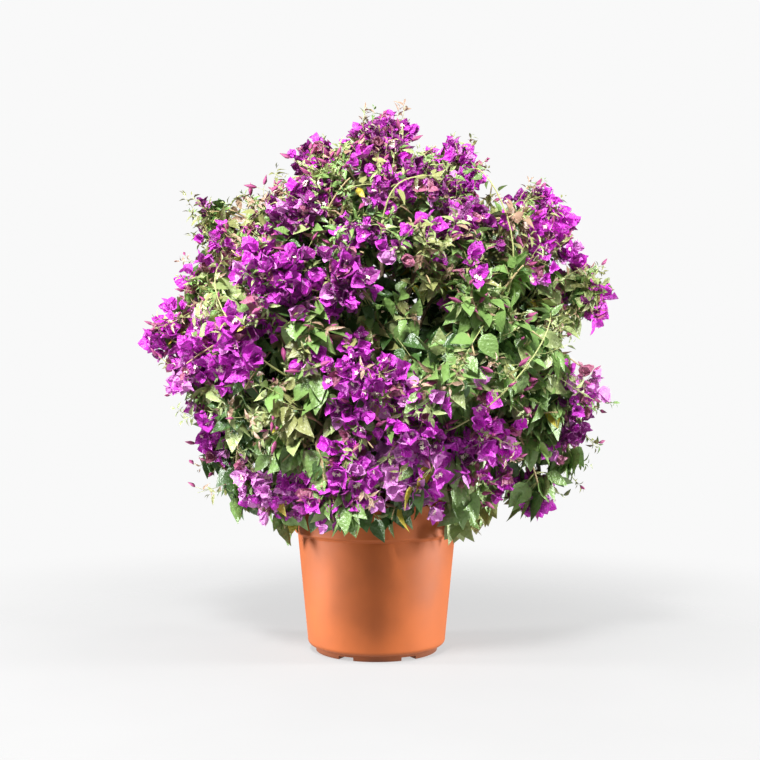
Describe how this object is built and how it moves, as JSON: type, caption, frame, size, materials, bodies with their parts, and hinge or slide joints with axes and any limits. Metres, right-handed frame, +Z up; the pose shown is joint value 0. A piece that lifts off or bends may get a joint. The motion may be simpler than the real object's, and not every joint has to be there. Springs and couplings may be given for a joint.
{
  "type": "potted bougainvillea bush",
  "caption": "Flowering evergreen shrub with a dense domed crown of magenta bracts and green leaves, growing in a round plastic nursery pot.",
  "frame": {"origin": "centre of the pot's flat underside", "axes": "+Z up, the face that the picture shows is towards -Y"},
  "size_m": [0.8544, 0.7645, 1.0074],
  "materials": {
    "terracotta_plastic": "smooth moulded plastic, soft sheen",
    "compost": "damp crumbly compost with bark bits",
    "bark": "fissured grey-brown bark",
    "leaf": "leathery leaf, soft gloss",
    "bract": "papery veined bract",
    "flower": "waxy cream petals",
    "green_shoot": "smooth young stem"
  },
  "bodies": {
    "root": {"pot": "terracotta_plastic", "compost": "compost", "trunk": "bark", "bough_top": "bark", "bough_upper_front_left": "bark", "bough_upper_front_right": "bark", "bough_upper_right": "bark", "bough_upper_back_right": "bark", "bough_upper_back_left": "bark", "bough_upper_left": "bark", "bough_middle_front": "bark", "bough_middle_front_right": "bark", "bough_middle_right": "bark", "bough_middle_back_right": "bark", "bough_middle_back": "bark", "bough_middle_back_left": "bark", "bough_middle_left": "bark", "bough_middle_front_left": "bark", "bough_lower_front_left": "bark", "bough_lower_front_right": "bark", "bough_lower_right_front": "bark", "bough_lower_right_back": "bark", "bough_lower_back_right": "bark", "bough_lower_back_left": "bark", "bough_lower_left_back": "bark", "bough_lower_left_front": "bark", "mass_top": "bract", "mass_upper_front_left": "bract", "mass_upper_front_right": "bract", "mass_upper_right": "bract", "mass_upper_back_right": "bract", "mass_upper_back_left": "bract", "mass_upper_left": "leaf", "mass_middle_front": "leaf", "mass_middle_front_right": "bract", "mass_middle_right": "leaf", "mass_middle_back_right": "bract", "mass_middle_back": "bract", "mass_middle_back_left": "bract", "mass_middle_left": "bract", "mass_middle_front_left": "bract", "mass_lower_front_left": "bract", "mass_lower_front_right": "bract", "mass_lower_right_front": "leaf", "mass_lower_right_back": "leaf", "mass_lower_back_right": "bract", "mass_lower_back_left": "leaf", "mass_lower_left_back": "leaf", "mass_lower_left_front": "leaf"}
  },
  "joints": []
}
